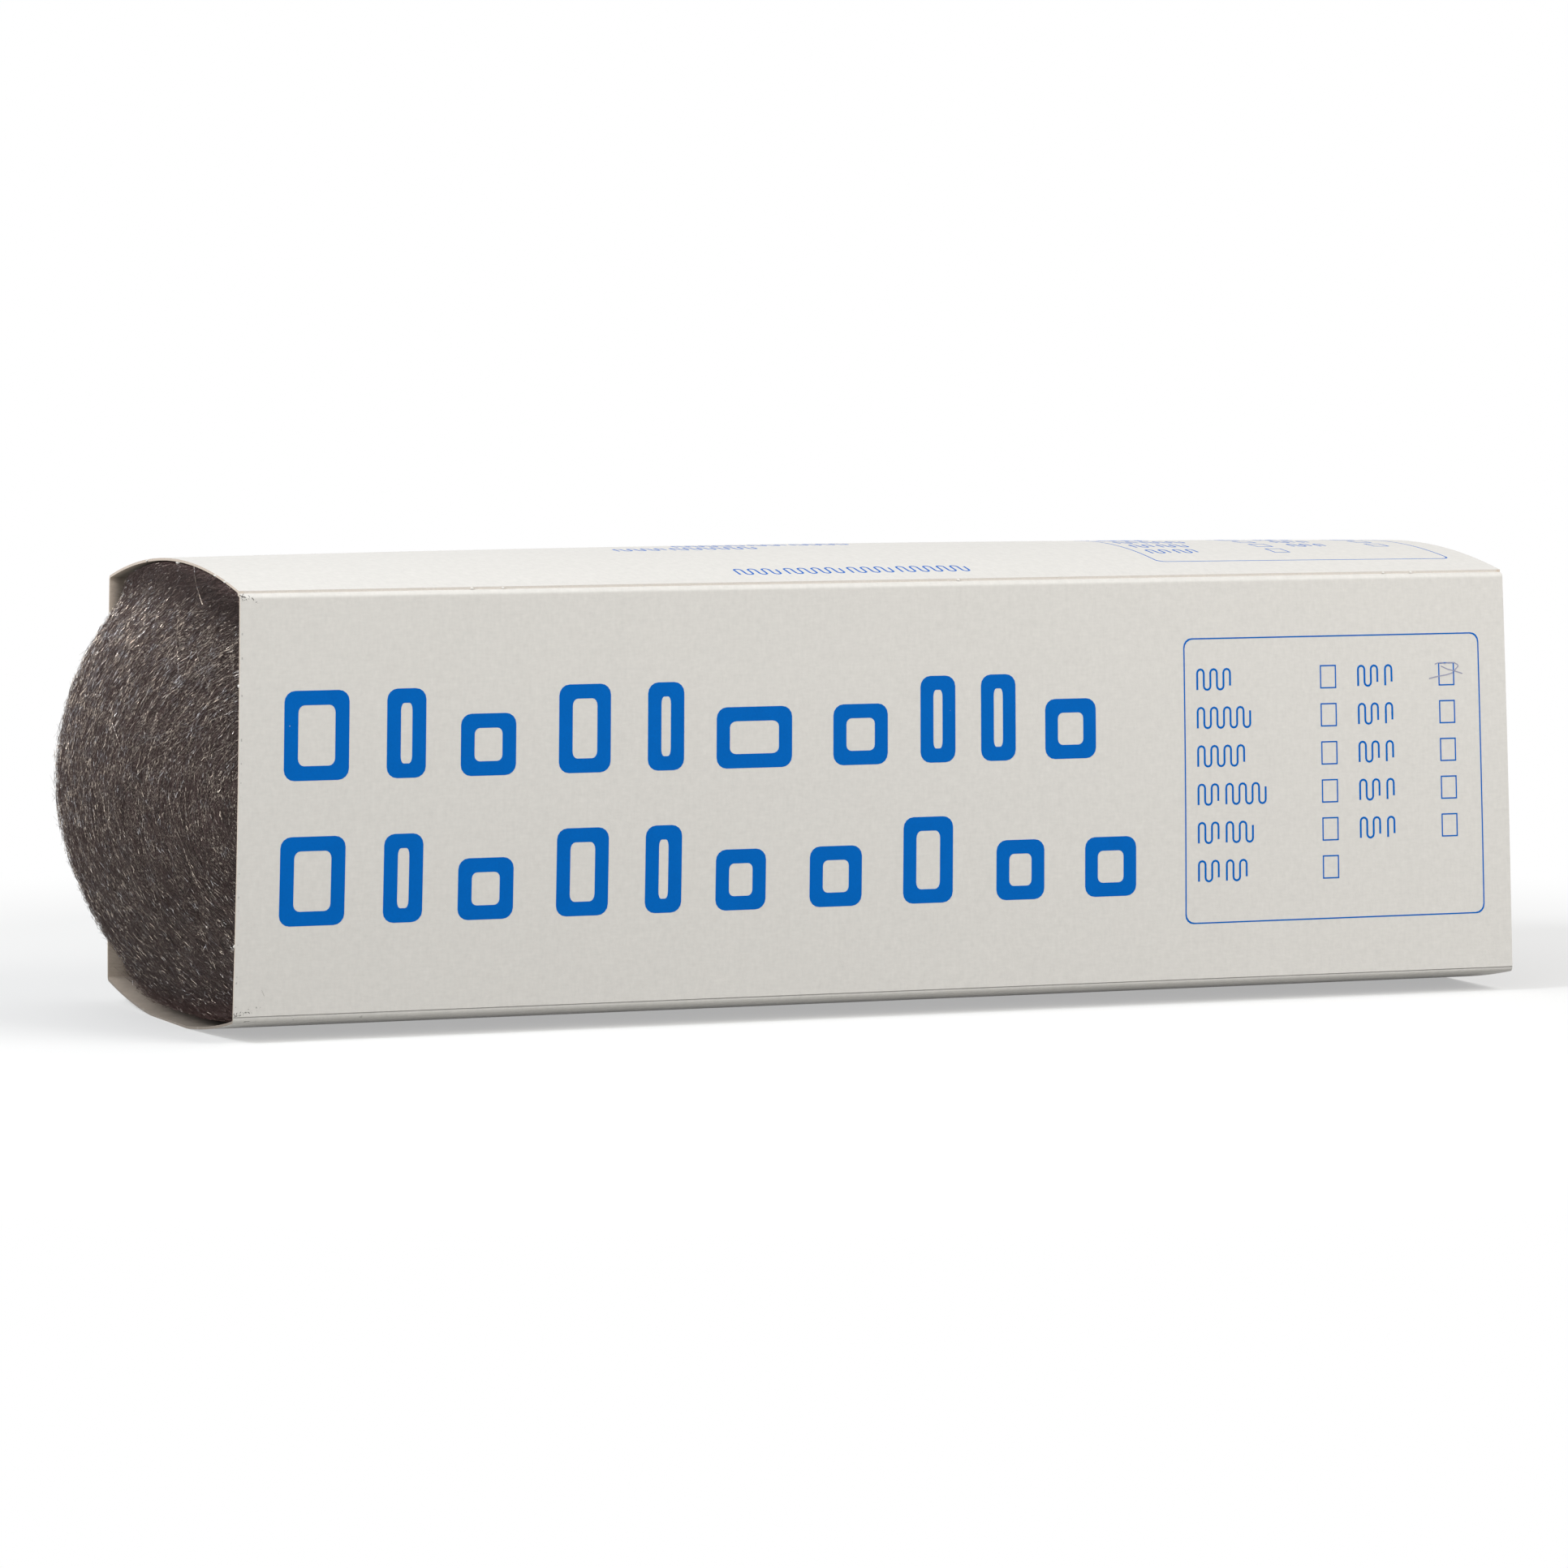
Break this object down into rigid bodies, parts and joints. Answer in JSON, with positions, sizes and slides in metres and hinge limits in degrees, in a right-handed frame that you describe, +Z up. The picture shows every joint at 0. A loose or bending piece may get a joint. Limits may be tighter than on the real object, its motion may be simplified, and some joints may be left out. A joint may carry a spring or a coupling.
{
  "type": "steel wool hank in a carton sleeve",
  "caption": "Flat-wound hank of steel wool in an open-ended folded board sleeve, for cleaning, polishing and rubbing down.",
  "frame": {"origin": "middle of the underside of the pack's box, on the plane that it lies on", "axes": "+X along the sleeve from the open end that shows in the picture to the far one, +Y from the printed front panel to the back panel, +Z up"},
  "size_m": [0.3668, 0.1134, 0.1122],
  "materials": {
    "board": "white-lined carton board, satin, with blue print and brown-grey raw cut edges",
    "steel_wool": "fine dark steel fibres laid side by side, with bright glints"
  },
  "bodies": {
    "root": {"carton_sleeve": "board", "steel_wool": "steel_wool"}
  },
  "joints": []
}
